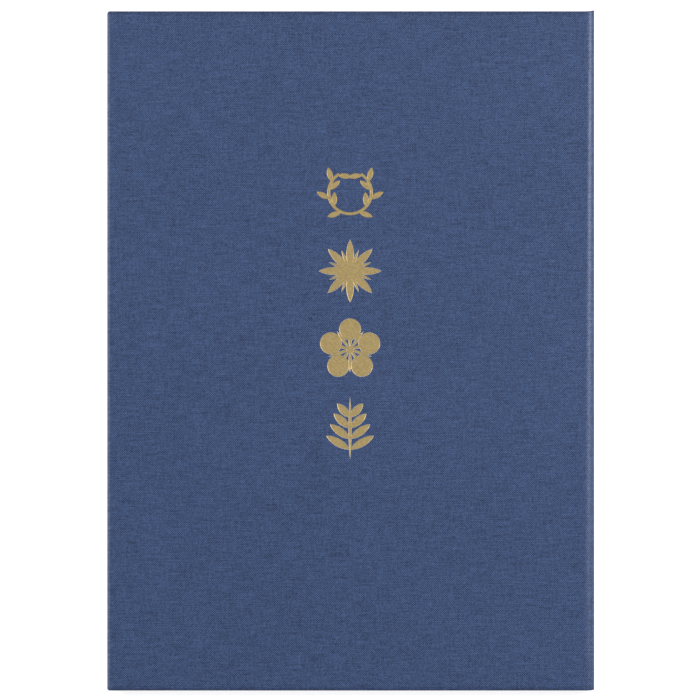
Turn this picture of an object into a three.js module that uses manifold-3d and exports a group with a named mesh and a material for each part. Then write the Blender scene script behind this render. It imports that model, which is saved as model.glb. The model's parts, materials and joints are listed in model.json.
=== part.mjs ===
// A certificate cover: two cloth-covered boards that fold at a soft round spine.
// Lengths are millimetres. The cover lies closed on its back: X runs from the free edge to the
// spine, Y from the tail to the head, and Z from the back board up to the front board.

import * as THREE from "three";
import { mergeVertices } from "three/addons/utils/BufferGeometryUtils.js";
import Module from "manifold-3d";

const wasm = await Module();
wasm.setup();

// The closed cover, made for one A4 sheet
const COVER_WIDTH = 221;
const COVER_HEIGHT = 308;
const SHEET_SPACE = 1.4; // between the two linings

// Thickness of each layer
const CLOTH = 0.4;
const BOARD = 2.0;
const LINING = 0.25;
const SPINE_CARD = 0.6;
const RIBBON = 0.25;
const FOIL = 0.08;

// Clearances
const PASTE_GAP = 0.03; // between two pasted layers
const CREASE_GAP = 0.1; // between the two sides of a crease
const BEND_ROOM = 0.2; // between the hinge cloth on a board's end and the round of the spine
const FOIL_CLEARANCE = 0.12; // round a foil mark in its pressed bed

// Edges and corners of the covered boards
const CORNER_RADIUS = 1.0;
const EDGE_RADIUS = 0.7;
const TURN_IN = 15; // cloth folded over onto the inside
const SPINE_SHORT = 0.3; // the round of the spine stops this far inside head and tail

// The inside
const LINING_BORDER = 3; // bare cloth round the lining
const LINING_SLOPE = 1.5; // run over which the lining steps down off the turned-in cloth
const HINGE_WING = 12; // hinge cloth pasted onto a board
const HINGE_BARE = 2; // of it left bare beside the lining
const RIBBON_WIDTH = 11;
const RIBBON_REACH = 26; // from a lining corner to the near edge of its ribbon

// The four foil marks
const MARK_SIZE = 28.5;
const MARK_PITCH = 35.6;
const MARK_COLUMN_Y = 18.4; // centre of the column above the middle of the cover
const MARK_COLUMN_X = -0.4;
const DEBOSS = 0.2; // depth of the pressed bed
const STROKE = 1.5; // width of a stem
const LEAF_WIDTH = 3.6;
const LEAF_STEPS = 4;

// Worked out from the sizes above
const half = { x: COVER_WIDTH / 2, y: COVER_HEIGHT / 2 };
const boardBottom = CLOTH + PASTE_GAP;
const innerCloth = boardBottom + BOARD + PASTE_GAP;
const liningBottom = innerCloth + CLOTH + PASTE_GAP;
const coverThickness = liningBottom + LINING;
const closedThickness = 2 * coverThickness + SHEET_SPACE;
const spineRadius = closedThickness / 2;
const spineStart = half.x - spineRadius;
const boardEnd = spineStart - BEND_ROOM - CLOTH - PASTE_GAP;
const hingeEdge = boardEnd - HINGE_WING;

// A closed geometry as a solid for joining and cutting.
function solid(geometry) {
  const bare = geometry.clone();
  bare.deleteAttribute("normal");
  bare.deleteAttribute("uv");
  const merged = mergeVertices(bare, 1e-4);
  return new wasm.Manifold(
    new wasm.Mesh({
      numProp: 3,
      vertProperties: new Float32Array(merged.attributes.position.array),
      triVerts: new Uint32Array(merged.index.array),
    }),
  );
}

function toGeometry(made) {
  const mesh = made.getMesh();
  const geometry = new THREE.BufferGeometry();
  geometry.setAttribute("position", new THREE.BufferAttribute(mesh.vertProperties, 3));
  geometry.setIndex(new THREE.BufferAttribute(mesh.triVerts, 1));
  geometry.computeVertexNormals();
  return geometry;
}

function block(low, high) {
  const size = high.map((value, i) => value - low[i]);
  const geometry = new THREE.BoxGeometry(...size);
  return geometry.translate(...low.map((value, i) => value + size[i] / 2));
}

// A block whose lower face is drawn in by `slope` on every side.
function tray(low, high, slope) {
  const geometry = block(low, high);
  const position = geometry.attributes.position;
  const middle = low.map((value, i) => (value + high[i]) / 2);
  for (let i = 0; i < position.count; i++) {
    if (position.getZ(i) > middle[2]) continue;
    position.setX(i, position.getX(i) - slope * Math.sign(position.getX(i) - middle[0]));
    position.setY(i, position.getY(i) - slope * Math.sign(position.getY(i) - middle[1]));
  }
  return geometry;
}

// A section drawn in X and Z, drawn out along Y from -reach to reach.
function alongSpine(section, reach) {
  const options = { depth: 2 * reach, bevelEnabled: false, curveSegments: 8 };
  const geometry = new THREE.ExtrudeGeometry(section, options);
  return geometry.rotateX(Math.PI / 2).translate(0, reach, 0);
}

function roundedRectangle(low, high, radius) {
  const shape = new THREE.Shape();
  shape.absarc(high[0] - radius, high[1] - radius, radius, 0, Math.PI / 2);
  shape.absarc(low[0] + radius, high[1] - radius, radius, Math.PI / 2, Math.PI);
  shape.absarc(low[0] + radius, low[1] + radius, radius, Math.PI, 1.5 * Math.PI);
  shape.absarc(high[0] - radius, low[1] + radius, radius, 1.5 * Math.PI, 2 * Math.PI);
  return shape;
}

// Part of a ring round the middle of the spine, seen along Y, from angle `from` to angle `to`.
function spineRing(outer, thickness, from, to) {
  const shape = new THREE.Shape();
  shape.absarc(spineStart, spineRadius, outer, from, to, false);
  shape.absarc(spineStart, spineRadius, outer - thickness, to, from, true);
  return shape;
}

const crease = Math.PI / 4;
const creaseTurn = CREASE_GAP / (2 * spineRadius);

// The pieces of one cover, drawn as the back cover lies, with its outside at Z = 0. The front
// cover is the same, turned over.

function boardPiece() {
  const edge = boardBottom;
  return block(
    [-half.x + edge, -half.y + edge, boardBottom],
    [boardEnd, half.y - edge, boardBottom + BOARD],
  );
}

// Cloth under the board, round three of its edges and in over its inner side, with a lip that
// runs on round the spine as far as the crease.
function clothSolid() {
  const thickness = innerCloth + CLOTH;
  const beyond = half.x + TURN_IN;
  const outline = roundedRectangle(
    [-half.x + EDGE_RADIUS, -half.y + EDGE_RADIUS],
    [beyond, half.y - EDGE_RADIUS],
    CORNER_RADIUS - EDGE_RADIUS,
  );
  const wrap = new THREE.ExtrudeGeometry(outline, {
    depth: thickness - 2 * EDGE_RADIUS,
    bevelThickness: EDGE_RADIUS,
    bevelSize: EDGE_RADIUS,
    bevelSegments: 3,
    curveSegments: 3,
  }).translate(0, 0, EDGE_RADIUS);
  const afterSpine = block(
    [spineStart, -COVER_HEIGHT, -thickness],
    [2 * beyond, COVER_HEIGHT, 2 * thickness],
  );
  const pocket = block([-half.x + CLOTH, -half.y + CLOTH, CLOTH], [beyond, half.y - CLOTH, innerCloth]);
  const opening = block(
    [-half.x + TURN_IN, -half.y + TURN_IN, innerCloth - PASTE_GAP],
    [beyond, half.y - TURN_IN, 2 * thickness],
  );
  const lip = new THREE.Shape();
  lip.moveTo(spineStart - CLOTH, 0);
  lip.absarc(spineStart, spineRadius, spineRadius, -Math.PI / 2, -crease - creaseTurn, false);
  lip.absarc(spineStart, spineRadius, spineRadius - CLOTH, -crease - creaseTurn, -Math.PI / 2, true);
  lip.lineTo(spineStart - CLOTH, CLOTH);
  return solid(wrap)
    .subtract(solid(afterSpine))
    .subtract(solid(pocket))
    .subtract(solid(opening))
    .add(solid(alongSpine(lip, half.y - SPINE_SHORT)));
}

// Hinge cloth from the inner side of a board, down the board's end and round to the crease.
function hingeClothPiece() {
  const radius = spineRadius - CLOTH - PASTE_GAP;
  const end = boardEnd + PASTE_GAP;
  const section = new THREE.Shape();
  section.moveTo(hingeEdge, innerCloth);
  section.lineTo(end, innerCloth);
  section.lineTo(end, boardBottom);
  section.absarc(spineStart, spineRadius, radius, -Math.PI / 2, -crease - creaseTurn, false);
  section.absarc(spineStart, spineRadius, radius - CLOTH, -crease - creaseTurn, -Math.PI / 2, true);
  section.lineTo(end + CLOTH, boardBottom + CLOTH);
  section.lineTo(end + CLOTH, innerCloth + CLOTH);
  section.lineTo(hingeEdge, innerCloth + CLOTH);
  return alongSpine(section, half.y - TURN_IN - PASTE_GAP);
}

const liningLow = [-half.x + LINING_BORDER, -half.y + LINING_BORDER];
const liningHigh = [boardEnd - HINGE_BARE, half.y - LINING_BORDER];

// Lining paper that lies on the turned-in cloth and steps down onto the board between it.
function liningPiece() {
  const low = [-half.x + TURN_IN + CLOTH, -half.y + TURN_IN + CLOTH];
  const high = [hingeEdge - CLOTH, half.y - TURN_IN - CLOTH];
  const sheet = block([...liningLow, liningBottom], [...liningHigh, liningBottom + LINING]);
  const under = tray([...low, innerCloth], [...high, liningBottom], LINING_SLOPE);
  const over = tray(
    [...low, innerCloth + LINING],
    [...high, liningBottom + LINING],
    LINING_SLOPE,
  );
  return toGeometry(solid(sheet).add(solid(under)).subtract(solid(over)));
}

// A ribbon laid across the corner of the lining at (x, y), with sideX and sideY pointing outwards.
function ribbonPiece(x, y, sideX, sideY) {
  const far = RIBBON_REACH + RIBBON_WIDTH * Math.SQRT2;
  const corner = new THREE.Vector2(x, y);
  const along = [
    [RIBBON_REACH, 0],
    [far, 0],
    [0, far],
    [0, RIBBON_REACH],
  ];
  const points = along.map(([a, b]) => new THREE.Vector2(-sideX * a, -sideY * b).add(corner));
  return new THREE.ExtrudeGeometry(new THREE.Shape(points), { depth: RIBBON, bevelEnabled: false });
}

// The foil marks. Each is a union of strokes in the XY plane about its own middle, and `grow`
// widens every stroke, which gives the bed that the mark is pressed into.

// A pointed leaf from (x, y) in direction `angle`.
function leaf(x, y, angle, length, width) {
  return (grow) => {
    const points = [];
    const reach = length + 2 * grow;
    const put = (t, side) => {
      const along = t * reach - grow;
      const across = side * (width / 2 + grow) * Math.sin(Math.PI * t) ** 0.75;
      const cos = Math.cos(angle);
      const sin = Math.sin(angle);
      points.push(new THREE.Vector2(x + along * cos - across * sin, y + along * sin + across * cos));
    };
    for (let i = 0; i < LEAF_STEPS; i++) put(i / LEAF_STEPS, -1);
    for (let i = LEAF_STEPS; i > 0; i--) put(i / LEAF_STEPS, 1);
    return new THREE.Shape(points);
  };
}

function disc(x, y, radius) {
  return (grow) => new THREE.Shape().absarc(x, y, radius + grow, 0, 2 * Math.PI);
}

// A curved stem on a circle round the mark's middle.
function stem(radius, from, to) {
  return (grow) => {
    const turn = grow / radius;
    const shape = new THREE.Shape();
    shape.absarc(0, 0, radius + STROKE / 2 + grow, from - turn, to + turn, false);
    shape.absarc(0, 0, radius - STROKE / 2 - grow, to + turn, from - turn, true);
    return shape;
  };
}

function strokesSolid(strokes, grow, depth) {
  const options = { depth, bevelEnabled: false, curveSegments: 5 };
  return strokes
    .map((stroke) => solid(new THREE.ExtrudeGeometry(stroke(grow), options)))
    .reduce((joined, next) => joined.add(next));
}

// Two leafy stems that rise from the bottom and stay open at the top.
function laurel() {
  const radius = 0.34 * MARK_SIZE;
  const bottom = -Math.PI / 2;
  const sweep = 0.8 * Math.PI;
  const leaves = 6;
  const overrun = 0.1; // the stems cross at the bottom and run on under their last leaves
  const strokes = [];
  for (const side of [-1, 1]) {
    const ends = [bottom - side * overrun, bottom + side * (sweep + overrun)];
    strokes.push(stem(radius, Math.min(...ends), Math.max(...ends)));
    for (let i = 1; i <= leaves; i++) {
      const at = bottom + (side * sweep * i) / leaves;
      const lean = i % 2 ? 0.75 : -0.75;
      const heading = at + side * (Math.PI / 2 - lean);
      const length = 0.24 * MARK_SIZE;
      strokes.push(
        leaf(radius * Math.cos(at), radius * Math.sin(at), heading, length, 0.75 * LEAF_WIDTH),
      );
    }
  }
  return strokes;
}

// Eight broad leaves with eight fine ones between them, round a small disc.
function rosette() {
  const rays = 8;
  const strokes = [disc(0, 0, 0.1 * MARK_SIZE)];
  for (let i = 0; i < 2 * rays; i++) {
    const angle = (i * Math.PI) / rays;
    const broad = i % 2 === 0;
    const length = (broad ? 0.5 : 0.36) * MARK_SIZE;
    strokes.push(leaf(0, 0, angle, length, broad ? LEAF_WIDTH : STROKE));
  }
  return strokes;
}

// Five round petals that touch, round a ring of fine stamens.
function blossom() {
  const petals = 5;
  const strokes = [disc(0, 0, 0.065 * MARK_SIZE)];
  for (let i = 0; i < petals; i++) {
    const angle = Math.PI / 2 + (2 * Math.PI * i) / petals;
    const out = 0.32 * MARK_SIZE;
    strokes.push(disc(out * Math.cos(angle), out * Math.sin(angle), 0.175 * MARK_SIZE));
    strokes.push(leaf(0, 0, angle, out, STROKE));
    const between = angle + Math.PI / petals;
    strokes.push(leaf(0, 0, between, 0.36 * MARK_SIZE, STROKE));
  }
  return strokes;
}

// An upright stem with four pairs of leaves.
function sprig() {
  const pairs = 4;
  const foot = -0.5 * MARK_SIZE;
  const strokes = [leaf(0, foot, Math.PI / 2, MARK_SIZE, STROKE)];
  for (let i = 0; i < pairs; i++) {
    const y = foot + (0.16 + 0.17 * i) * MARK_SIZE;
    const length = (0.44 - 0.045 * i) * MARK_SIZE;
    for (const side of [-1, 1]) {
      const angle = Math.PI / 2 - side * (1.05 - 0.1 * i);
      strokes.push(leaf(0, y, angle, length, LEAF_WIDTH));
    }
  }
  return strokes;
}

const marks = { laurel: laurel(), rosette: rosette(), blossom: blossom(), sprig: sprig() };

// The front cover's own frame lies upside down, so a mark is turned over to face outwards.
// `depth` is how far below the outside of the cloth the mark's own base lies.
function markPlace(index, depth) {
  const y = MARK_COLUMN_Y + ((Object.keys(marks).length - 1) / 2 - index) * MARK_PITCH;
  return new THREE.Matrix4().makeRotationX(Math.PI).setPosition(MARK_COLUMN_X, -y, depth);
}

function stampedClothPiece() {
  let cloth = clothSolid();
  Object.values(marks).forEach((strokes, index) => {
    const tool = toGeometry(strokesSolid(strokes, FOIL_CLEARANCE, 2 * DEBOSS));
    cloth = cloth.subtract(solid(tool.applyMatrix4(markPlace(index, DEBOSS))));
  });
  return toGeometry(cloth);
}

// Finishes
function finish(color, roughness, metalness = 0) {
  return () => new THREE.MeshStandardMaterial({ color, roughness, metalness, side: THREE.FrontSide });
}
const bookCloth = finish(0x415277, 0.85);
const greyboard = finish(0x8d8678, 0.9);
const liningPaper = finish(0xf3efe4, 0.8);
const satinRibbon = finish(0xf4f1ea, 0.4);
const goldFoil = finish(0xab976a, 0.35, 0.9);

function add(group, name, geometry, material) {
  const mesh = new THREE.Mesh(geometry, material());
  mesh.name = name;
  group.add(mesh);
  return mesh;
}

// One cover without its marks and ribbons.
function coverGroup(name, cloth) {
  const group = new THREE.Group();
  add(group, `${name}_board`, boardPiece(), greyboard);
  add(group, `${name}_cloth`, cloth, bookCloth);
  add(group, `${name}_hinge_cloth`, hingeClothPiece(), bookCloth);
  add(group, `${name}_lining`, liningPiece(), liningPaper);
  return group;
}

const backCover = coverGroup("back", toGeometry(clothSolid()));
let ribbonNumber = 1;
for (const sideX of [-1, 1]) {
  for (const sideY of [-1, 1]) {
    const x = sideX < 0 ? liningLow[0] : liningHigh[0];
    const y = sideY < 0 ? liningLow[1] : liningHigh[1];
    const ribbon = add(backCover, `ribbon_${ribbonNumber}`, ribbonPiece(x, y, sideX, sideY), satinRibbon);
    ribbon.position.z = coverThickness + PASTE_GAP;
    ribbonNumber++;
  }
}

const frontCover = coverGroup("front", stampedClothPiece());
Object.entries(marks).forEach(([name, strokes], index) => {
  const foil = add(frontCover, `foil_${name}`, toGeometry(strokesSolid(strokes, 0, FOIL)), goldFoil);
  foil.applyMatrix4(markPlace(index, DEBOSS - PASTE_GAP));
});
frontCover.rotation.x = Math.PI;
frontCover.position.z = closedThickness;

// The round of the spine between the two creases: outer cloth, card and hinge cloth.
const spine = new THREE.Group();
const cardRadius = spineRadius - CLOTH - PASTE_GAP;
const hingeRadius = cardRadius - SPINE_CARD - PASTE_GAP;
const ringAngles = [-crease + creaseTurn, crease - creaseTurn];
const spineReach = half.y - SPINE_SHORT;
add(spine, "spine_cloth", alongSpine(spineRing(spineRadius, CLOTH, ...ringAngles), spineReach), bookCloth);
add(
  spine,
  "spine_card",
  alongSpine(spineRing(cardRadius, SPINE_CARD, ...ringAngles), spineReach - CLOTH),
  greyboard,
);
add(
  spine,
  "spine_hinge_cloth",
  alongSpine(spineRing(hingeRadius, CLOTH, ...ringAngles), half.y - TURN_IN - PASTE_GAP),
  bookCloth,
);

const cover = new THREE.Group();
cover.add(backCover, spine, frontCover);

export default cover;
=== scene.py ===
# %% [markdown]
# # A cloth-covered certificate cover
# The cover lies closed on its back and is seen from straight above: two boards in blue book
# cloth, a soft round spine on the right, and four gold marks pressed into the front. The packed
# model brings the boards, the linings and the joints. This file gives the cover its cloth, foil,
# paper and ribbon. Lengths are metres, and a size that reads best in millimetres is written
# times `MM`.

# %% Load the frame
import json
import math

import bmesh
import bpy
from mathutils import Matrix, Vector

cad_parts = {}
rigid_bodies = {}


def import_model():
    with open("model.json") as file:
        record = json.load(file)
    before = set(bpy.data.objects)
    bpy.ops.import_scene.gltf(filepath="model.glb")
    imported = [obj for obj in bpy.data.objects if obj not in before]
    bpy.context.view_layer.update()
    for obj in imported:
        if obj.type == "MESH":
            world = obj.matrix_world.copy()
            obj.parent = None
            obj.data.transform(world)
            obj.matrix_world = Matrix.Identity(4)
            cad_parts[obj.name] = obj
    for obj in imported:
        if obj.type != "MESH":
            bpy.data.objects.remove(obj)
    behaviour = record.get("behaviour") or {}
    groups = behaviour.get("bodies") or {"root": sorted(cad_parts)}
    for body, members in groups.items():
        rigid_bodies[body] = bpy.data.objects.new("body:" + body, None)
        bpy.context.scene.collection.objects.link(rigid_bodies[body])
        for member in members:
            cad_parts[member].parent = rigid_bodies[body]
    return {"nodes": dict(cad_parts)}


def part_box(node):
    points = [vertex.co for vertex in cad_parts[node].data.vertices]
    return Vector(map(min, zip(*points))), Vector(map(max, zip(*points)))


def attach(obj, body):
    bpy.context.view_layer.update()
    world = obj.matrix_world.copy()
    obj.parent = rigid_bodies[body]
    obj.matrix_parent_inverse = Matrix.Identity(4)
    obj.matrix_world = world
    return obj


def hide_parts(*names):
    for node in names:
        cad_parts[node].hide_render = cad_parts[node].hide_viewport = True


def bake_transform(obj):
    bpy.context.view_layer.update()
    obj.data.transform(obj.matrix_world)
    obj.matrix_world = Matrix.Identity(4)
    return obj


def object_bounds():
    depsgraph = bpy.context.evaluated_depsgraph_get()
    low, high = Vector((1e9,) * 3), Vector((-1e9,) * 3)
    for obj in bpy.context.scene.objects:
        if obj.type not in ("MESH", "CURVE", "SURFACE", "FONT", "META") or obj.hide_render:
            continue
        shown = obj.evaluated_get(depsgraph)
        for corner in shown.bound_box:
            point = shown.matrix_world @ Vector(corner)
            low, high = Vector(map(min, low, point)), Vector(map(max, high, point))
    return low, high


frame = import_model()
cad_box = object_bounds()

MM = 0.001
scene = bpy.context.scene

# %% [markdown]
# ## Sizes
# The cloth has to fit the boards, so its sizes are read from the frame's own boxes where they
# can be. The box of the whole cover gives its width, height and thickness, and the rest follows
# from how a cloth cover is made: the cloth wraps each board and turns in over its inner side.

# %% Sizes of the cover
half_x = cad_box[1].x
half_y = cad_box[1].y
closed = cad_box[1].z
spine_radius = closed / 2
spine_start = half_x - spine_radius

board_low, board_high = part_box("back_board")
CLOTH = 0.4 * MM
PASTE_GAP = 0.03 * MM
wrapped = board_high.z + PASTE_GAP + CLOTH
CARD = 0.6 * MM
TURN_IN = 15 * MM
EDGE_RADIUS = 0.7 * MM
CORNER_RADIUS = 1.0 * MM
print(f"closed cover {2e3 * half_x:.1f} x {2e3 * half_y:.1f} x {1e3 * closed:.2f} mm")

# %% [markdown]
# ## Camera
# The photograph looks square onto the front, and the low spine shows at almost its full place,
# so the camera hangs straight above the cover, far away, with a long lens. The cover is 308 mm
# tall and fills 680 of the picture's 700 pixels. That share sets how far away the camera hangs.

# %% Camera
PICTURE_PIXELS = 700
COVER_PIXELS = 679.7
PICTURE_CENTRE_OFF = (0.95, 0.87)
LENS = 200
SENSOR = 36

metres_per_pixel = 2 * half_y / COVER_PIXELS
picture_width = PICTURE_PIXELS * metres_per_pixel
camera_data = bpy.data.cameras.new("camera")
camera_data.lens = LENS
camera_data.sensor_width = SENSOR
camera = bpy.data.objects.new("camera", camera_data)
scene.collection.objects.link(camera)
camera.location = (
    -PICTURE_CENTRE_OFF[0] * metres_per_pixel,
    PICTURE_CENTRE_OFF[1] * metres_per_pixel,
    closed + picture_width * LENS / SENSOR,
)
scene.camera = camera
scene.view_settings.view_transform = "Standard"
print(f"camera {camera.location.z:.3f} m above the floor, {1e3 * metres_per_pixel:.4f} mm a pixel")

# %% [markdown]
# ## Helpers
# Blender's operators work on what is selected, and the frame leaves its own pieces selected. So
# each step first selects just the piece that it works on.

# %% Selecting and modifiers
def only(piece):
    """Selects one piece and makes it active."""
    if bpy.context.object and bpy.context.object.mode != "OBJECT":
        bpy.ops.object.mode_set(mode="OBJECT")
    bpy.ops.object.select_all(action="DESELECT")
    piece.select_set(True)
    bpy.context.view_layer.objects.active = piece
    return piece


def modify(piece, kind, **settings):
    """Adds one modifier and applies it at once."""
    only(piece)
    modifier = piece.modifiers.new(kind.title(), kind)
    for name, value in settings.items():
        setattr(modifier, name, value)
    bpy.ops.object.modifier_apply(modifier=modifier.name)


def smooth(piece, degrees):
    only(piece)
    bpy.ops.object.shade_smooth_by_angle(angle=math.radians(degrees))


def remove(piece):
    bpy.data.objects.remove(piece, do_unlink=True)


# %% [markdown]
# ## Colours
# Colours are noted as they look on a screen, from 0 to 255. Blender mixes light in linear
# values, so each is converted once.

# %% Colours
def screen(red, green, blue):
    """A screen colour as the linear colour that a shader takes."""
    shares = (value / 255 for value in (red, green, blue))
    return tuple(s / 12.92 if s < 0.04045 else ((s + 0.055) / 1.055) ** 2.4 for s in shares) + (1,)


# %% [markdown]
# ## Node helpers
# A material is a small machine of nodes. These helpers add a node, set its values and link its
# inputs in one call, so that each material below reads from top to bottom.

# %% Node helpers
def node(tree, kind, settings=None, **inputs):
    """Adds a node. A number or colour sets an input, and a socket is linked to it."""
    made = tree.nodes.new(kind)
    for name, value in (settings or {}).items():
        setattr(made, name, value)
    for name, value in inputs.items():
        key = int(name[1:]) if name[0] == "i" and name[1:].isdigit() else name.replace("_", " ")
        socket = made.inputs[key]
        if isinstance(value, bpy.types.NodeSocket):
            tree.links.new(value, socket)
        else:
            socket.default_value = value
    return made


def maths(tree, operation, first, second=0.0):
    return node(tree, "ShaderNodeMath", {"operation": operation}, i0=first, i1=second).outputs[0]


def stretched_noise(tree, vector, scale, detail=2.0, roughness=0.5):
    """Noise whose grain is 1 / scale metres long on each axis."""
    mapping = node(tree, "ShaderNodeMapping", Vector=vector, Scale=scale)
    noise = node(
        tree,
        "ShaderNodeTexNoise",
        Vector=mapping.outputs[0],
        Scale=1.0,
        Detail=detail,
        Roughness=roughness,
    )
    return noise.outputs["Fac"]


def blend_colours(tree, share, dark, light):
    """Goes from `dark`, a colour or a socket, to the colour `light` as `share` goes from 0 to 1."""
    mix = node(tree, "ShaderNodeMix", {"data_type": "RGBA"})
    kinds = {"Factor": "VALUE", "A": "RGBA", "B": "RGBA"}
    sockets = {s.name: s for s in mix.inputs if kinds.get(s.name) == s.type}
    tree.links.new(share, sockets["Factor"])
    sockets["B"].default_value = light
    if isinstance(dark, bpy.types.NodeSocket):
        tree.links.new(dark, sockets["A"])
    else:
        sockets["A"].default_value = dark
    return next(s for s in mix.outputs if s.type == "RGBA")


def new_group(name, inputs, outputs):
    """An empty node group, with its input and output nodes."""
    group = bpy.data.node_groups.new(name, "ShaderNodeTree")
    for label, kind in inputs:
        group.interface.new_socket(label, in_out="INPUT", socket_type=kind)
    for label, kind in outputs:
        group.interface.new_socket(label, in_out="OUTPUT", socket_type=kind)
    start = group.nodes.new("NodeGroupInput")
    end = group.nodes.new("NodeGroupOutput")
    return group, start, end


def new_material(name):
    material = bpy.data.materials.new(name)
    material.use_nodes = True
    return material, material.node_tree, material.node_tree.nodes["Principled BSDF"]


def add_bump(tree, shader, height, distance, strength):
    """Lets `height` tilt the surface's light, as if it stood up by `distance`."""
    bump = node(tree, "ShaderNodeBump", Height=height, Distance=distance, Strength=strength)
    tree.links.new(bump.outputs[0], shader.inputs["Normal"])


# %% [markdown]
# ## The weave
# Book cloth is a plain weave: each thread goes over one and under the next, so the surface is a
# fine chequer of raised dots. Its threads aren't even. Thick and thin stretches, called slubs,
# show as short light and dark streaks, more of them across the cover than up it, and single
# crossings stand out by chance, which is the scatter. The cloth and the ribbon both need a
# weave, so it is a group with the thread's pitch as an input. It reads the piece's own map,
# which is laid out as the flat sheet was, so the threads follow every fold.

# %% Weave group
THREAD_WANDER = 1.1 * MM
WANDER_GRAIN = 180.0
LONG_GRAIN = 95
FINE_GRAIN = 2100
TONE_RELIEF = 2.0
HALF = (0.5, 0.5, 0.5)


def vector_maths(tree, operation, first, second):
    settings = {"operation": operation}
    return node(tree, "ShaderNodeVectorMath", settings, i0=first, i1=second).outputs[0]


def weave_group():
    group, start, end = new_group(
        "weave",
        [
            ("Vector", "NodeSocketVector"),
            ("Pitch", "NodeSocketFloat"),
            ("Across", "NodeSocketFloat"),
            ("Along", "NodeSocketFloat"),
            ("Dots", "NodeSocketFloat"),
            ("Scatter", "NodeSocketFloat"),
        ],
        [("Tone", "NodeSocketFloat"), ("Height", "NodeSocketFloat")],
    )
    flat = start.outputs["Vector"]

    def about_middle(value, share):
        """Turns a value between 0 and 1 into one about 0, and scales it by an input."""
        return maths(group, "MULTIPLY", maths(group, "SUBTRACT", value, 0.5), start.outputs[share])

    wander = node(group, "ShaderNodeTexNoise", Vector=flat, Scale=WANDER_GRAIN, Detail=3.0)
    centred = vector_maths(group, "SUBTRACT", wander.outputs["Color"], HALF)
    shift = vector_maths(group, "MULTIPLY", centred, (THREAD_WANDER, THREAD_WANDER, 0))
    moved = vector_maths(group, "ADD", flat, shift)
    parts = node(group, "ShaderNodeSeparateXYZ", Vector=moved)
    turn = maths(group, "DIVIDE", math.pi, start.outputs["Pitch"])
    waves = [maths(group, "SINE", maths(group, "MULTIPLY", parts.outputs[i], turn)) for i in (0, 1)]
    chequer = maths(group, "MULTIPLY", *waves)
    crossing = vector_maths(group, "SNAP", moved, start.outputs["Pitch"])
    chance = node(group, "ShaderNodeTexWhiteNoise", {"noise_dimensions": "2D"}, Vector=crossing)
    long_across = stretched_noise(group, flat, (LONG_GRAIN, FINE_GRAIN, 1), 3.0, 0.6)
    long_along = stretched_noise(group, flat, (FINE_GRAIN, LONG_GRAIN, 1), 3.0, 0.6)
    across = about_middle(long_across, "Across")
    along = about_middle(long_along, "Along")
    scatter = about_middle(chance.outputs["Value"], "Scatter")
    dots = maths(group, "MULTIPLY", chequer, start.outputs["Dots"])
    slubs = maths(group, "ADD", across, along)
    tone = maths(group, "ADD", slubs, maths(group, "ADD", dots, scatter))
    height = maths(group, "ADD", chequer, maths(group, "MULTIPLY", tone, TONE_RELIEF))
    group.links.new(maths(group, "ADD", tone, 0.5), end.inputs["Tone"])
    group.links.new(height, end.inputs["Height"])
    return group


weave = weave_group()
print("weave group with", len(weave.nodes), "nodes")

# %% [markdown]
# ## Book cloth
# The cloth is a dusty blue, dyed in the thread. It is sized with starch or resin, so it has a
# faint sheen where it turns over an edge, and a patch of it is never quite the colour of the
# next. Broad noise gives those patches. Along the head and tail, where the rounded edge turns
# away from the lamps, a painted shade darkens the colour. Along the free edge and down the
# shoulder of the spine, painted highlights pale the colour where the lamps catch those rounds.
# The painted highlight on the spine is palest and narrowest near the head, where it also lies
# further out. It ends where the cloth turns in.

# %% Book cloth
CLOTH_WEAVE = {"Pitch": 0.5 * MM, "Across": 2.2, "Along": 1.2, "Dots": 1.0, "Scatter": 0.9}
CLOTH_RELIEF = 0.03 * MM
PATCH_GRAIN = (14, 20, 1)
PATCH_STRENGTH = 0.25
# Painted shade: how much darker the head and tail edges are drawn, and how wide the painted bands
# along the edges are.
END_PAINTED_SHADE = -0.5
EDGE_BAND = 1.6 * MM
# Painted highlight down the spine's shoulder: where it lies and leans, its width and taper, how it
# fades from the head, and its strength and grain.
SHOULDER = spine_start + spine_radius * math.radians(20)
SHOULDER_LEAN = 0.0042
SHOULDER_BAND = 1.6 * MM
SHOULDER_TAPER = -0.0035
HIGHLIGHT_TO_HEAD = 4.0
HIGHLIGHT_AT_MIDDLE = 0.7
HIGHLIGHT_STRENGTH = 0.24
HIGHLIGHT_GRAIN = 0.2


def tent(tree, value, centre, width):
    """A mask that is 1 where `value` is `centre` and falls to 0 at `width` from it."""
    away = maths(tree, "ABSOLUTE", maths(tree, "SUBTRACT", value, centre))
    rise = maths(tree, "SUBTRACT", 1.0, maths(tree, "DIVIDE", away, width))
    return maths(tree, "MAXIMUM", rise, 0.0)


def along_height(tree, place, slope, middle):
    """A value that is `middle` halfway up the cover and changes by `slope` a metre."""
    return maths(tree, "ADD", maths(tree, "MULTIPLY", place.outputs["Y"], slope), middle)


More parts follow.
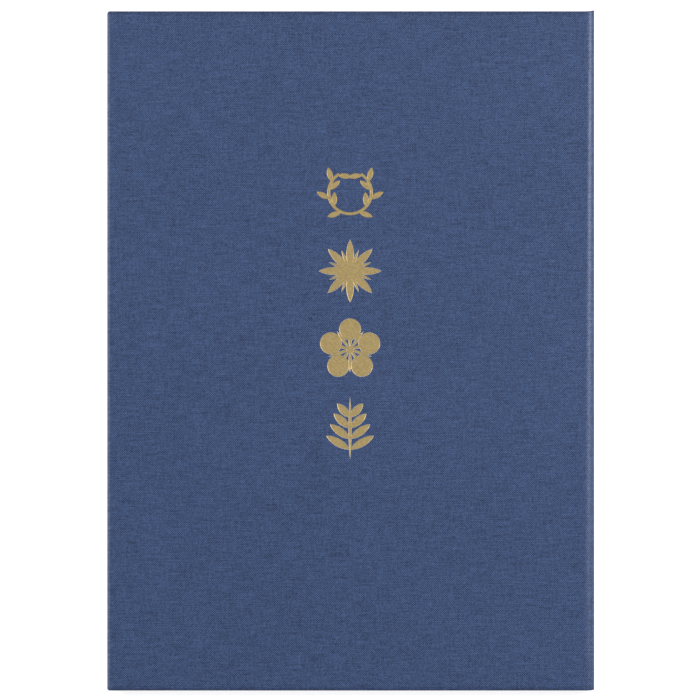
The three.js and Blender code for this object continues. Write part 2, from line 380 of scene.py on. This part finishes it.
def book_cloth_material():
    material, tree, shader = new_material("woven_book_cloth")
    flat = node(tree, "ShaderNodeUVMap", {"uv_map": "flat"}).outputs[0]
    threads = node(tree, "ShaderNodeGroup", {"node_tree": weave}, Vector=flat)
    for name, value in CLOTH_WEAVE.items():
        threads.inputs[name].default_value = value
    patches = stretched_noise(tree, flat, PATCH_GRAIN, 2.0)
    patch_tone = maths(tree, "MULTIPLY", maths(tree, "SUBTRACT", patches, 0.5), PATCH_STRENGTH)
    place = node(tree, "ShaderNodeSeparateXYZ", Vector=flat)
    from_middle = maths(tree, "ABSOLUTE", place.outputs["Y"])
    # Painted shade along the head and tail edges, where the rounded edge turns away from the lamps.
    shaded_end = tent(tree, from_middle, half_y - EDGE_RADIUS, EDGE_BAND)
    painted_end_shade = maths(tree, "MULTIPLY", shaded_end, END_PAINTED_SHADE)
    tone = maths(tree, "ADD", maths(tree, "ADD", threads.outputs["Tone"], patch_tone), painted_end_shade)
    dyed_and_shaded = blend_colours(tree, tone, screen(18, 36, 70), screen(66, 90, 135))
    # Painted highlights along the free edge and down the shoulder of the spine, strongest towards the
    # head.
    free_edge_highlight = tent(tree, place.outputs["X"], -half_x, EDGE_BAND)
    shoulder_line = along_height(tree, place, SHOULDER_LEAN, SHOULDER)
    shoulder_band = along_height(tree, place, SHOULDER_TAPER, SHOULDER_BAND)
    shoulder_highlight = tent(tree, place.outputs["X"], shoulder_line, shoulder_band)
    to_head = along_height(tree, place, HIGHLIGHT_TO_HEAD, HIGHLIGHT_AT_MIDDLE)
    to_head = maths(tree, "MAXIMUM", maths(tree, "MINIMUM", to_head, 1.0), 0.0)
    outside = maths(tree, "LESS_THAN", from_middle, half_y)
    shoulder_highlight = maths(tree, "MULTIPLY", shoulder_highlight, maths(tree, "MULTIPLY", to_head, outside))
    # The painted highlights pale the colour, a little more on raised threads.
    painted_highlight = maths(tree, "MAXIMUM", free_edge_highlight, shoulder_highlight)
    highlight_grain = maths(tree, "MULTIPLY", threads.outputs["Tone"], HIGHLIGHT_GRAIN)
    highlight_share = maths(tree, "ADD", highlight_grain, HIGHLIGHT_STRENGTH)
    colour = blend_colours(tree, maths(tree, "MULTIPLY", painted_highlight, highlight_share), dyed_and_shaded, screen(158, 168, 203))
    tree.links.new(colour, shader.inputs["Base Color"])
    rough = maths(tree, "ADD", maths(tree, "MULTIPLY", tone, -0.1), 0.58)
    tree.links.new(rough, shader.inputs["Roughness"])
    shader.inputs["Specular IOR Level"].default_value = 0.35
    shader.inputs["Sheen Weight"].default_value = 0.05
    shader.inputs["Sheen Roughness"].default_value = 0.4
    shader.inputs["Sheen Tint"].default_value = screen(170, 185, 220)
    add_bump(tree, shader, threads.outputs["Height"], CLOTH_RELIEF, 0.5)
    return material


book_cloth = book_cloth_material()

# %% [markdown]
# ## Gold foil
# The marks are stamped with a hot die through a thin gold film. The film takes the cloth's
# grain, so it is dull, and only its sloping rims throw back a clear light. The base colour of a
# metal is the colour of what it mirrors, so the flat of the mark takes the tint of old gold.

# %% Gold foil
FOIL_GRAIN = (900, 1500, 900)
FOIL_RELIEF = 0.03 * MM


def gold_foil_material():
    material, tree, shader = new_material("stamped_gold_foil")
    place = node(tree, "ShaderNodeTexCoord").outputs["Object"]
    grain = stretched_noise(tree, place, FOIL_GRAIN, 4.0, 0.65)
    colour = blend_colours(tree, grain, screen(118, 100, 58), screen(186, 166, 119))
    tree.links.new(colour, shader.inputs["Base Color"])
    shader.inputs["Metallic"].default_value = 0.9
    rough = maths(tree, "ADD", maths(tree, "MULTIPLY", grain, 0.2), 0.36)
    tree.links.new(rough, shader.inputs["Roughness"])
    add_bump(tree, shader, grain, FOIL_RELIEF, 0.4)
    return material


gold_foil = gold_foil_material()

# %% [markdown]
# ## Papers, boards and ribbon
# Inside, the lining is a warm white laid paper with soft fibres. Greyboard is pressed from
# waste paper, so it is speckled. The ribbon is satin: smooth, with fine ribs along it.

# %% Papers, boards and ribbon
CLOUD_GRAIN = (25, 25, 25)
FIBRE_SHARE = 0.7
CLOUD_SHARE = 0.3
FIBRE_RELIEF = 0.03 * MM


def paper_material(name, dark, light, fibre_scale, roughness):
    material, tree, shader = new_material(name)
    place = node(tree, "ShaderNodeTexCoord").outputs["Object"]
    fibres = stretched_noise(tree, place, (fibre_scale, 3 * fibre_scale, fibre_scale), 6.0, 0.7)
    clouds = stretched_noise(tree, place, CLOUD_GRAIN, 2.0)
    fine = maths(tree, "MULTIPLY", fibres, FIBRE_SHARE)
    broad = maths(tree, "MULTIPLY", clouds, CLOUD_SHARE)
    colour = blend_colours(tree, maths(tree, "ADD", fine, broad), dark, light)
    tree.links.new(colour, shader.inputs["Base Color"])
    shader.inputs["Roughness"].default_value = roughness
    shader.inputs["Specular IOR Level"].default_value = 0.2
    add_bump(tree, shader, fibres, FIBRE_RELIEF, 0.5)
    return material


warm_white = (screen(196, 189, 170), screen(255, 252, 243))
grey = (screen(88, 83, 74), screen(182, 174, 160))
lining_paper = paper_material("fibrous_paper", *warm_white, fibre_scale=500, roughness=0.75)
greyboard = paper_material("speckled_board", *grey, fibre_scale=1200, roughness=0.85)

RIBBON_RELIEF = 0.02 * MM
RIBBON_WEAVE = {"Pitch": 0.18 * MM, "Across": 0.2, "Along": 0.5, "Dots": 0.05, "Scatter": 0.1}


def ribbon_material():
    material, tree, shader = new_material("ribbed_satin")
    flat = node(tree, "ShaderNodeUVMap", {"uv_map": "flat"}).outputs[0]
    threads = node(tree, "ShaderNodeGroup", {"node_tree": weave}, Vector=flat)
    for name, value in RIBBON_WEAVE.items():
        threads.inputs[name].default_value = value
    tone = threads.outputs["Tone"]
    colour = blend_colours(tree, tone, screen(216, 210, 196), screen(250, 247, 238))
    tree.links.new(colour, shader.inputs["Base Color"])
    shader.inputs["Roughness"].default_value = 0.32
    shader.inputs["Sheen Weight"].default_value = 0.3
    shader.inputs["Anisotropic"].default_value = 0.5
    add_bump(tree, shader, threads.outputs["Height"], RIBBON_RELIEF, 0.4)
    return material


satin_ribbon = ribbon_material()
print("materials", sorted(m.name for m in bpy.data.materials))

# %% [markdown]
# ## The outer cloth
# One sheet wraps the whole cover. A modeller could start from a box, but the cloth is a thin
# skin with folded edges, so it is built as it is folded: rings that run round the board's three
# free edges, from the outside face over the edge and 15 mm in over the inner side. Rings meet
# at the corners along a 45 degree line, which is the mitre of a real cover. The map of each
# face is where that patch lay on the flat sheet.

# %% The path over an edge
ARC_STEPS = 5
BORDER = 1.0 * MM
SHARPEST_CORNER = 0.02 * MM


def edge_path(radius, thickness, flap):
    """Points over a folded edge, as (inset from the edge, height, distance along the cloth)."""
    quarter = radius * math.pi / 2
    straight = thickness - 2 * radius
    turns = [i / ARC_STEPS * math.pi / 2 for i in range(ARC_STEPS + 1)]
    path = [(radius + BORDER, 0, -BORDER)]
    path += [(radius - radius * math.sin(a), radius - radius * math.cos(a), radius * a) for a in turns]
    path += [
        (
            radius - radius * math.cos(a),
            thickness - radius + radius * math.sin(a),
            quarter + straight + radius * a,
        )
        for a in turns
    ]
    path.append((flap, thickness, 2 * quarter + straight + flap - radius))
    return path


def ring_points(inset):
    """A line round the tail, free edge and head of the board, `inset` from its outline."""
    centre = max(CORNER_RADIUS, inset + SHARPEST_CORNER)
    radius = centre - inset
    points = [(x, -half_y + inset) for x in (spine_start, spine_start - BORDER)]
    for side, first in ((-1, 1.5 * math.pi), (1, math.pi)):
        for i in range(ARC_STEPS + 1):
            angle = first - i / ARC_STEPS * math.pi / 2
            x = -half_x + centre + radius * math.cos(angle)
            y = side * (half_y - centre) + radius * math.sin(angle)
            points.append((x, y))
    return points + [(x, half_y - inset) for x in (spine_start - BORDER, spine_start)]


print("path over an edge:", len(edge_path(EDGE_RADIUS, wrapped, TURN_IN)), "points")

# %% [markdown]
# Each face gets its place on the flat sheet from the side that it belongs to: past the tail,
# past the free edge or past the head. The round of the spine is added as rows of faces about
# the spine's middle, as far as the middle of the spine, where the two halves of the sheet meet.
# Where the cloth turns in at the head of the spine it stands up in a small ear, as the
# photograph shows, so the head's end is drawn out there, most at the back of the spine.

# %% Sheet builder
SPINE_ROWS = 24
SPINE_END_RADIUS = 0.5 * MM
EAR = 0.8 * MM
SAME_POINT = 1e-7


def flat_place(side, point, travel):
    """Where a point of the folded cloth lay on the flat sheet."""
    x, y = point
    if side == "free":
        return (-half_x + EDGE_RADIUS - travel, y)
    if side == "head":
        return (x, half_y - EDGE_RADIUS + travel)
    return (x, -half_y + EDGE_RADIUS - travel)


def add_face(mesh, flat_layer, corners, places):
    face = mesh.faces.new([mesh.verts.new(c) for c in corners])
    for loop, place in zip(face.loops, places):
        loop[flat_layer].uv = place


def add_board_wrap(mesh, flat_layer):
    path = edge_path(EDGE_RADIUS, wrapped, TURN_IN)
    rings = [ring_points(inset) for inset, _, _ in path]
    last = len(rings[0]) - 1
    mitre = 2 + ARC_STEPS / 2
    middles = [j + 0.5 for j in range(last)]
    sides = ["tail" if m < mitre else "head" if m > last - mitre else "free" for m in middles]
    for k in range(len(path) - 1):
        for j, side in enumerate(sides):
            order = [(k, j), (k + 1, j), (k + 1, j + 1), (k, j + 1)]
            corners = [(*rings[a][b], path[a][1]) for a, b in order]
            places = [flat_place(side, rings[a][b], path[a][2]) for a, b in order]
            add_face(mesh, flat_layer, corners, places)
    flat = rings[0]
    for outline in (flat[1:-1], [flat[0], flat[1], flat[-2], flat[-1]]):
        add_face(mesh, flat_layer, [(x, y, 0) for x, y in outline], outline)


def add_spine_wrap(mesh, flat_layer):
    fold = 2 * CLOTH + CARD + 2 * PASTE_GAP
    reach = half_y - EDGE_RADIUS
    head = [(y, 0, y) for y in (reach - BORDER, reach)]
    head += [
        (half_y - inset, height, half_y - SPINE_END_RADIUS + travel)
        for inset, height, travel in edge_path(SPINE_END_RADIUS, fold, TURN_IN)[1:]
    ]
    across = [(-y, height, -flat_y) for y, height, flat_y in reversed(head)] + head
    turns = [i / SPINE_ROWS * math.pi / 2 for i in range(SPINE_ROWS + 1)]

    def point(i, k):
        y, depth, _ = across[k]
        radius = spine_radius - depth
        x = spine_start + radius * math.sin(turns[i])
        return (x, y, spine_radius - radius * math.cos(turns[i]))

    for i in range(SPINE_ROWS):
        for k in range(len(across) - 1):
            order = [(i, k), (i, k + 1), (i + 1, k + 1), (i + 1, k)]
            places = [(spine_start + spine_radius * turns[a], across[b][2]) for a, b in order]
            add_face(mesh, flat_layer, [point(a, b) for a, b in order], places)


def raise_ear(mesh):
    """Draws the head end of the spine out a little, most at the back of the spine."""
    for vertex in mesh.verts:
        out = (vertex.co.x - spine_start) / spine_radius
        if out > 0 and vertex.co.y > half_y - 2 * EDGE_RADIUS:
            vertex.co.y += EAR * out**2


def turn_over(mesh, flat_layer):
    """Lays the back cover's pieces as the front cover's, with the head still at the map's top."""
    flip = Matrix.Translation((0, 0, closed)) @ Matrix.Rotation(math.pi, 4, "X")
    bmesh.ops.transform(mesh, matrix=flip, verts=mesh.verts)
    for face in mesh.faces:
        for loop in face.loops:
            loop[flat_layer].uv.y *= -1


def finish_sheet(mesh, name, material, outward):
    """Makes an object of the sheet, with its faces turned to `outward` at its largest face."""
    bmesh.ops.remove_doubles(mesh, verts=mesh.verts, dist=SAME_POINT)
    bmesh.ops.recalc_face_normals(mesh, faces=mesh.faces)
    largest = max(mesh.faces, key=lambda face: face.calc_area())
    if largest.normal.dot(outward) < 0:
        bmesh.ops.reverse_faces(mesh, faces=mesh.faces)
    data = bpy.data.meshes.new(name)
    mesh.to_mesh(data)
    mesh.free()
    piece = bpy.data.objects.new(name, data)
    scene.collection.objects.link(piece)
    data.materials.append(material)
    return piece


def new_sheet():
    mesh = bmesh.new()
    return mesh, mesh.loops.layers.uv.new("flat")


def outer_cloth(name, over):
    mesh, flat_layer = new_sheet()
    add_board_wrap(mesh, flat_layer)
    add_spine_wrap(mesh, flat_layer)
    if over:
        turn_over(mesh, flat_layer)
    raise_ear(mesh)
    piece = finish_sheet(mesh, name, book_cloth, Vector((0, 0, 1 if over else -1)))
    modify(piece, "SOLIDIFY", thickness=CLOTH, offset=-1)
    print(name, len(piece.data.polygons), "faces")
    return piece


# %% Both halves of the outer cloth
back_cloth = outer_cloth("outer_cloth_back", False)
front_cloth = outer_cloth("outer_cloth_front", True)

# %% [markdown]
# ## The marks
# Each mark is pressed into the cloth like a shallow dish: a flat floor with a sloping rim. It is
# put together from single strokes, such as leaves, petals and stems. First come the outlines of
# the strokes, as the die shows them at the cloth's surface.

# %% Outlines of the strokes
MARK_SIZE = 28.5 * MM
MARK_PITCH = 35.6 * MM
MARK_COLUMN = (-0.4 * MM, 18.4 * MM)
STROKE = 1.5 * MM
LEAF_WIDTH = 3.6 * MM
LEAF_FULLNESS = 0.75


def leaf(x, y, angle, length, width, steps=9):
    """The outline of a pointed leaf that starts at (x, y)."""
    shares = [i / steps for i in range(1, steps)]
    half = [(s * length, width / 2 * math.sin(math.pi * s) ** LEAF_FULLNESS) for s in shares]
    round_leaf = [(0, 0)] + [(a, -w) for a, w in half] + [(length, 0)] + half[::-1]
    turn = Matrix.Rotation(angle, 2)
    return [turn @ Vector(point) + Vector((x, y)) for point in round_leaf]


def disc(x, y, radius, steps=28):
    turns = [2 * math.pi * i / steps for i in range(steps)]
    return [Vector((x + radius * math.cos(a), y + radius * math.sin(a))) for a in turns]


def stem(radius, start, end, steps=20):
    """A curved band on a circle round the mark's middle."""
    low, high = sorted((start, end))
    turns = [low + (high - low) * i / steps for i in range(steps + 1)]
    outer = [(radius + STROKE / 2, a) for a in turns]
    inner = [(radius - STROKE / 2, a) for a in reversed(turns)]
    return [Vector((r * math.cos(a), r * math.sin(a))) for r, a in outer + inner]


# %% [markdown]
# The four marks are plain ornaments: a laurel, a rosette, a five-petalled blossom and a leafy
# sprig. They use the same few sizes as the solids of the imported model, so both agree.

# %% Strokes of each mark
def laurel():
    radius = 0.34 * MARK_SIZE
    bottom = -math.pi / 2
    sweep = 0.8 * math.pi
    overrun = 0.1
    leaves = 6
    leaf_lean = 0.75
    leaf_length = 0.24 * MARK_SIZE
    leaf_width = 0.75 * LEAF_WIDTH
    strokes = []
    for side in (-1, 1):
        strokes.append(stem(radius, bottom - side * overrun, bottom + side * (sweep + overrun)))
        for i in range(1, leaves + 1):
            at = bottom + side * sweep * i / leaves
            lean = leaf_lean if i % 2 else -leaf_lean
            heading = at + side * (math.pi / 2 - lean)
            x, y = radius * math.cos(at), radius * math.sin(at)
            strokes.append(leaf(x, y, heading, leaf_length, leaf_width))
    return strokes


def rosette():
    rays = 8
    middle = 0.1 * MARK_SIZE
    broad_length = 0.5 * MARK_SIZE
    fine_length = 0.36 * MARK_SIZE
    strokes = [disc(0, 0, middle)]
    for i in range(2 * rays):
        broad = i % 2 == 0
        length = broad_length if broad else fine_length
        strokes.append(leaf(0, 0, i * math.pi / rays, length, LEAF_WIDTH if broad else STROKE))
    return strokes


def blossom():
    petals = 5
    middle = 0.065 * MARK_SIZE
    out = 0.32 * MARK_SIZE
    petal = 0.175 * MARK_SIZE
    stamen = 0.36 * MARK_SIZE
    strokes = [disc(0, 0, middle)]
    for i in range(petals):
        angle = math.pi / 2 + 2 * math.pi * i / petals
        strokes.append(disc(out * math.cos(angle), out * math.sin(angle), petal))
        strokes.append(leaf(0, 0, angle, out, STROKE))
        strokes.append(leaf(0, 0, angle + math.pi / petals, stamen, STROKE))
    return strokes


def sprig():
    pairs = 4
    foot = -0.5 * MARK_SIZE
    lowest_pair = 0.16
    pair_step = 0.17
    lowest_length = 0.44
    length_step = 0.045
    lowest_lean = 1.05
    lean_step = 0.1
    strokes = [leaf(0, foot, math.pi / 2, MARK_SIZE, STROKE)]
    for i in range(pairs):
        y = foot + (lowest_pair + pair_step * i) * MARK_SIZE
        length = (lowest_length - length_step * i) * MARK_SIZE
        for side in (-1, 1):
            angle = math.pi / 2 - side * (lowest_lean - lean_step * i)
            strokes.append(leaf(0, y, angle, length, LEAF_WIDTH))
    return strokes


# %% [markdown]
# A stroke starts as a flat circle that takes the stroke's outline. Extruding it upwards gives the
# part that stands above the cloth. Its underside is then inset and pushed down in one step,
# which makes the sloping rim and the floor. All strokes of a mark are joined into one solid by a
# Boolean modifier.

# %% Pressed dishes
DEBOSS = 0.2 * MM
RIM_RUN = 0.3 * MM
ABOVE = 0.1 * MM
NEARLY_ALONG = 0.9


def select_faces_facing(piece, direction):
    """Leaves only the faces selected whose normal points along `direction`, in edit mode."""
    bpy.ops.mesh.select_all(action="DESELECT")
    mesh = bmesh.from_edit_mesh(piece.data)
    for face in mesh.faces:
        if face.normal.dot(direction) > NEARLY_ALONG:
            face.select_set(True)
    bmesh.update_edit_mesh(piece.data)


def stroke_solid(outline, centre):
    """One stroke as a solid: the dish that it presses, and a lid above the cloth."""
    bpy.ops.object.select_all(action="DESELECT")
    bpy.ops.mesh.primitive_circle_add(vertices=len(outline), radius=MARK_SIZE / 2, fill_type="NGON")
    piece = bpy.context.object
    for vertex, point in zip(piece.data.vertices, outline):
        vertex.co = (centre[0] + point.x, centre[1] + point.y, closed)
    bpy.ops.object.mode_set(mode="EDIT")
    bpy.ops.mesh.select_all(action="SELECT")
    bpy.ops.mesh.extrude_region_move(TRANSFORM_OT_translate={"value": (0, 0, ABOVE)})
    bpy.ops.mesh.select_all(action="SELECT")
    bpy.ops.mesh.normals_make_consistent(inside=False)
    select_faces_facing(piece, Vector((0, 0, -1)))
    bpy.ops.mesh.inset(thickness=RIM_RUN, depth=DEBOSS)
    bpy.ops.object.mode_set(mode="OBJECT")
    return piece


def pressed_dish(name, strokes, centre):
    """All strokes of a mark as one closed solid."""
    solids = [stroke_solid(outline, centre) for outline in strokes]
    dish = solids[0]
    dish.name = name
    others = bpy.data.collections.new(name + "_strokes")
    scene.collection.children.link(others)
    for piece in solids[1:]:
        for home in piece.users_collection:
            home.objects.unlink(piece)
        others.objects.link(piece)
    modify(
        dish,
        "BOOLEAN",
        operation="UNION",
        operand_type="COLLECTION",
        collection=others,
        solver="MANIFOLD",
    )
    for piece in list(others.objects):
        remove(piece)
    bpy.data.collections.remove(others)
    return dish


MARKS = {"laurel": laurel, "rosette": rosette, "blossom": blossom, "sprig": sprig}
dishes = {}
for index, (name, strokes) in enumerate(MARKS.items()):
    y = MARK_COLUMN[1] + ((len(MARKS) - 1) / 2 - index) * MARK_PITCH
    dishes[name] = pressed_dish("dish_" + name, strokes(), (MARK_COLUMN[0], y))
    print(name, len(dishes[name].data.vertices), "vertices")

# %% [markdown]
# The same dish serves twice. First it cuts the cloth. Then its own floor and rim, without the
# lid, become the foil that lines the cut: the part above the cloth is bisected away, and a
# Solidify modifier gives the film its thickness.

# %% Cut the cloth and line the cuts with foil
FILM = 0.04 * MM
FILM_BELOW = 0.05 * MM
FOIL_SMOOTHING = 15
CLOTH_SMOOTHING = 30

for name, dish in dishes.items():
    modify(front_cloth, "BOOLEAN", operation="DIFFERENCE", object=dish, solver="MANIFOLD")
    only(dish)
    bpy.ops.object.mode_set(mode="EDIT")
    bpy.ops.mesh.select_all(action="SELECT")
    bpy.ops.mesh.bisect(
        plane_co=(0, 0, closed - FILM_BELOW), plane_no=(0, 0, 1), clear_outer=True, threshold=1e-6
    )
    bpy.ops.object.mode_set(mode="OBJECT")
    modify(dish, "SOLIDIFY", thickness=FILM, offset=-1)
    smooth(dish, FOIL_SMOOTHING)
    dish.name = "gold_" + name
    dish.data.materials.clear()
    dish.data.materials.append(gold_foil)
    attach(dish, "front_cover")
    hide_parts("foil_" + name)
for piece in (back_cloth, front_cloth):
    smooth(piece, CLOTH_SMOOTHING)
print("front cloth after the cuts:", len(front_cloth.data.polygons), "faces")

# %% [markdown]
# ## The hinge cloth
# Inside, a strip of the same cloth covers the gap between the boards. It is pasted onto the
# edge of each board, goes down the board's end and follows the inside of the spine. It is built
# as one section, drawn out along the spine, with small arcs where it turns.

# %% Hinge cloth
HINGE_WING = 12 * MM
HINGE_THICK = 0.9 * CLOTH
STRIP_SMOOTHING = 40
FOOT_RUN = 0.9 * MM
TURN_RADIUS = 0.15 * MM
TURN_STEPS = 4


def rounded(points, radius):
    """The line through `points` with each inner corner rounded by a curve."""
    line = [points[0]]
    for before, corner, after in zip(points, points[1:], points[2:]):
        tip = Vector(corner)
        start = tip + (Vector(before) - tip).normalized() * radius
        end = tip + (Vector(after) - tip).normalized() * radius
        for i in range(TURN_STEPS + 1):
            share = i / TURN_STEPS
            line.append(tuple(start.lerp(tip, share).lerp(tip.lerp(end, share), share)))
    return line + [points[-1]]


def hinge_section():
    """The strip's pasted side, in X and Z, from the board to the middle of the spine."""
    end = board_high.x + PASTE_GAP
    face = board_high.z + PASTE_GAP
    low = board_low.z
    radius = spine_radius - CLOTH - CARD - 2 * PASTE_GAP
    crease = math.pi / 4
    foot = (spine_start + FOOT_RUN, low)
    line = rounded([(end - HINGE_WING, face), (end, face), (end, low), foot], TURN_RADIUS)
    for i in range(SPINE_ROWS):
        turn = crease + (math.pi / 2 - crease) * i / (SPINE_ROWS - 1)
        line.append((spine_start + radius * math.sin(turn), spine_radius - radius * math.cos(turn)))
    return line


def hinge_cloth(name, over):
    mesh, flat_layer = new_sheet()
    section = hinge_section()
    reach = half_y - TURN_IN - PASTE_GAP
    travel = 0
    for first, second in zip(section, section[1:]):
        after = travel + (Vector(second) - Vector(first)).length
        sides = ((first, travel, -reach), (first, travel, reach))
        sides += ((second, after, reach), (second, after, -reach))
        corners = [(x, y, z) for (x, z), _, y in sides]
        add_face(mesh, flat_layer, corners, [(along, y) for _, along, y in sides])
        travel = after
    if over:
        turn_over(mesh, flat_layer)
    piece = finish_sheet(mesh, name, book_cloth, Vector((0, 0, -1 if over else 1)))
    modify(piece, "SOLIDIFY", thickness=HINGE_THICK, offset=1)
    smooth(piece, STRIP_SMOOTHING)
    print(f"{name}: {1e3 * travel:.1f} x {2e3 * reach:.1f} mm flat")
    return piece, travel, 2 * reach


back_hinge, hinge_width, hinge_length = hinge_cloth("hinge_cloth_back", False)
front_hinge, _, _ = hinge_cloth("hinge_cloth_front", True)

# %% [markdown]
# ## Setting the cloth in place
# The cover opens at two creases, one on each side of the spine. The new cloth pieces are baked
# where they were built and are not tied to the boards, so they neither ride with a board nor bend
# at a crease. The imported cloth pieces that they stand in for are hidden. The outside of the
# cloth reaches the middle of the spine. Cloth that lies deeper doesn't reach it, so as the cover
# opens, the halves part on the inner side, by up to 1.55 mm. That is a known fault.

for piece in (back_cloth, back_hinge):
    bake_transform(piece)
for piece in (front_cloth, front_hinge):
    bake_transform(piece)
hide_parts("back_cloth", "spine_cloth")
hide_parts("front_cloth", "spine_cloth")
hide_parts("back_hinge_cloth", "spine_hinge_cloth")
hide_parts("front_hinge_cloth", "spine_hinge_cloth")

over_edge = edge_path(EDGE_RADIUS, wrapped, TURN_IN)[-1][2]

# %% [markdown]
# ## Ribbons
# Four satin ribbons cross the corners of the back lining and hold the certificate by its
# corners. A ribbon starts as a flat grid, is turned to 45 degrees, and rises a little in its
# middle, where a sheet slips under it. Its ends are pasted down at the lining's edges.

# %% Ribbons
RIBBON_WIDTH = 11 * MM
RIBBON_REACH = 26 * MM
RIBBON_THICK = 0.2 * MM
RIBBON_RISE = 0.35 * MM
EDGE_DROP = 0.3
lining_low, lining_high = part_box("back_lining")


def ribbon(name, node_name, side_x, side_y):
    corner_x = lining_low.x if side_x < 0 else lining_high.x
    corner_y = lining_low.y if side_y < 0 else lining_high.y
    near = RIBBON_REACH + RIBBON_WIDTH / math.sqrt(2)
    length = near * math.sqrt(2)
    bpy.ops.object.select_all(action="DESELECT")
    bpy.ops.mesh.primitive_grid_add(x_subdivisions=40, y_subdivisions=8, size=1)
    piece = bpy.context.object
    piece.name = name
    flat_layer = piece.data.uv_layers[0]
    flat_layer.name = "flat"
    for loop in flat_layer.data:
        loop.uv = ((loop.uv[0] - 0.5) * length, (loop.uv[1] - 0.5) * RIBBON_WIDTH)
    for vertex in piece.data.vertices:
        across = vertex.co.y * RIBBON_WIDTH
        along = vertex.co.x * (length + 2 * across)
        bulge = math.cos(math.pi * vertex.co.x) ** 2 * (1 - EDGE_DROP * (2 * vertex.co.y) ** 2)
        inward = near / math.sqrt(2) + across
        x = (inward - along) / math.sqrt(2)
        y = (inward + along) / math.sqrt(2)
        z = lining_high.z + PASTE_GAP + RIBBON_RISE * bulge
        vertex.co = (corner_x - side_x * x, corner_y - side_y * y, z)
    modify(piece, "SOLIDIFY", thickness=RIBBON_THICK, offset=0)
    bpy.ops.object.mode_set(mode="EDIT")
    bpy.ops.mesh.select_all(action="SELECT")
    bpy.ops.mesh.normals_make_consistent(inside=False)
    bpy.ops.object.mode_set(mode="OBJECT")
    smooth(piece, STRIP_SMOOTHING)
    piece.data.materials.append(satin_ribbon)
    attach(piece, "back_cover")
    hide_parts(node_name)


corners = [(side_x, side_y) for side_x in (-1, 1) for side_y in (-1, 1)]
for number, (side_x, side_y) in enumerate(corners, start=1):
    ribbon(f"satin_ribbon_{number}", f"ribbon_{number}", side_x, side_y)
print("ribbons", len(corners))

# %% [markdown]
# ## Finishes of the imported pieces
# The linings and boards have their true shape already, so they stay and only get a finish.

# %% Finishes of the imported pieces
for name in ("back_lining", "front_lining", "back_board", "front_board", "spine_card"):
    piece = frame["nodes"][name]
    piece.data.materials.clear()
    piece.data.materials.append(lining_paper if "lining" in name else greyboard)

# %% [markdown]
# ## Floor and light
# The cover was photographed on white, between two soft lamps that stand to its left and right,
# nearer its head. They draw the bright rims on the marks, and the pale line down the spine
# together with the painted highlight in the cloth's colour. The floor is white paper that shines
# a little towards the camera, so that it reads as plain white and still takes the cover's shadow.
# The surroundings are white to the camera and to reflections, and dimmer as a light.

# %% Floor
FLOOR_SIZE = 8
FLOOR_DROP = 0.02 * MM
FLOOR_WHITE = (0.82, 0.82, 0.82, 1)
FLOOR_GLOW = 0.8
WHITE = (1, 1, 1, 1)


def floor_material():
    material, tree, shader = new_material("floor_paper")
    shader.inputs["Base Color"].default_value = FLOOR_WHITE
    shader.inputs["Roughness"].default_value = 0.9
    shader.inputs["Specular IOR Level"].default_value = 0
    path = node(tree, "ShaderNodeLightPath")
    seen = maths(tree, "MAXIMUM", path.outputs["Is Camera Ray"], path.outputs["Is Glossy Ray"])
    seen = maths(tree, "MAXIMUM", seen, path.outputs["Is Transmission Ray"])
    shader.inputs["Emission Color"].default_value = WHITE
    tree.links.new(maths(tree, "MULTIPLY", seen, FLOOR_GLOW), shader.inputs["Emission Strength"])
    return material


bpy.ops.object.select_all(action="DESELECT")
bpy.ops.mesh.primitive_plane_add(size=FLOOR_SIZE, location=(0, 0, -FLOOR_DROP))
floor = bpy.context.object
floor.name = "floor"
floor.data.materials.append(floor_material())

# %% Lamps and surroundings
AROUND = 0.25
LAMP_SIZE = (0.25, 0.3)
LAMP_OUT = 1.05
LAMP_TO_HEAD = 0.3
LAMP_UP = 0.85
LEFT_WATTS = 8.5
RIGHT_WATTS = 13.5


def lamp(name, out, watts, colour):
    """Adds a lamp `out` metres to the right of the cover's middle, and aims it there."""
    data = bpy.data.lights.new(name, "AREA")
    data.shape = "RECTANGLE"
    data.size, data.size_y = LAMP_SIZE
    data.energy = watts
    data.color = colour
    made = bpy.data.objects.new(name, data)
    scene.collection.objects.link(made)
    place = Vector((out, LAMP_TO_HEAD, LAMP_UP))
    made.location = place
    made.rotation_euler = (-place).to_track_quat("-Z", "Y").to_euler()


lamp("lamp_left", -LAMP_OUT, LEFT_WATTS, (1, 1, 1))
lamp("lamp_right", LAMP_OUT, RIGHT_WATTS, (1, 0.97, 0.95))

world = bpy.data.worlds.new("surroundings")
scene.world = world
world.use_nodes = True
around = world.node_tree
background = around.nodes["Background"]
background.inputs["Color"].default_value = WHITE
rays = node(around, "ShaderNodeLightPath")
shown = maths(around, "MAXIMUM", rays.outputs["Is Camera Ray"], rays.outputs["Is Glossy Ray"])
shown = maths(around, "MAXIMUM", shown, rays.outputs["Is Transmission Ray"])
strength = maths(around, "ADD", maths(around, "MULTIPLY", shown, 1 - AROUND), AROUND)
around.links.new(strength, background.inputs["Strength"])
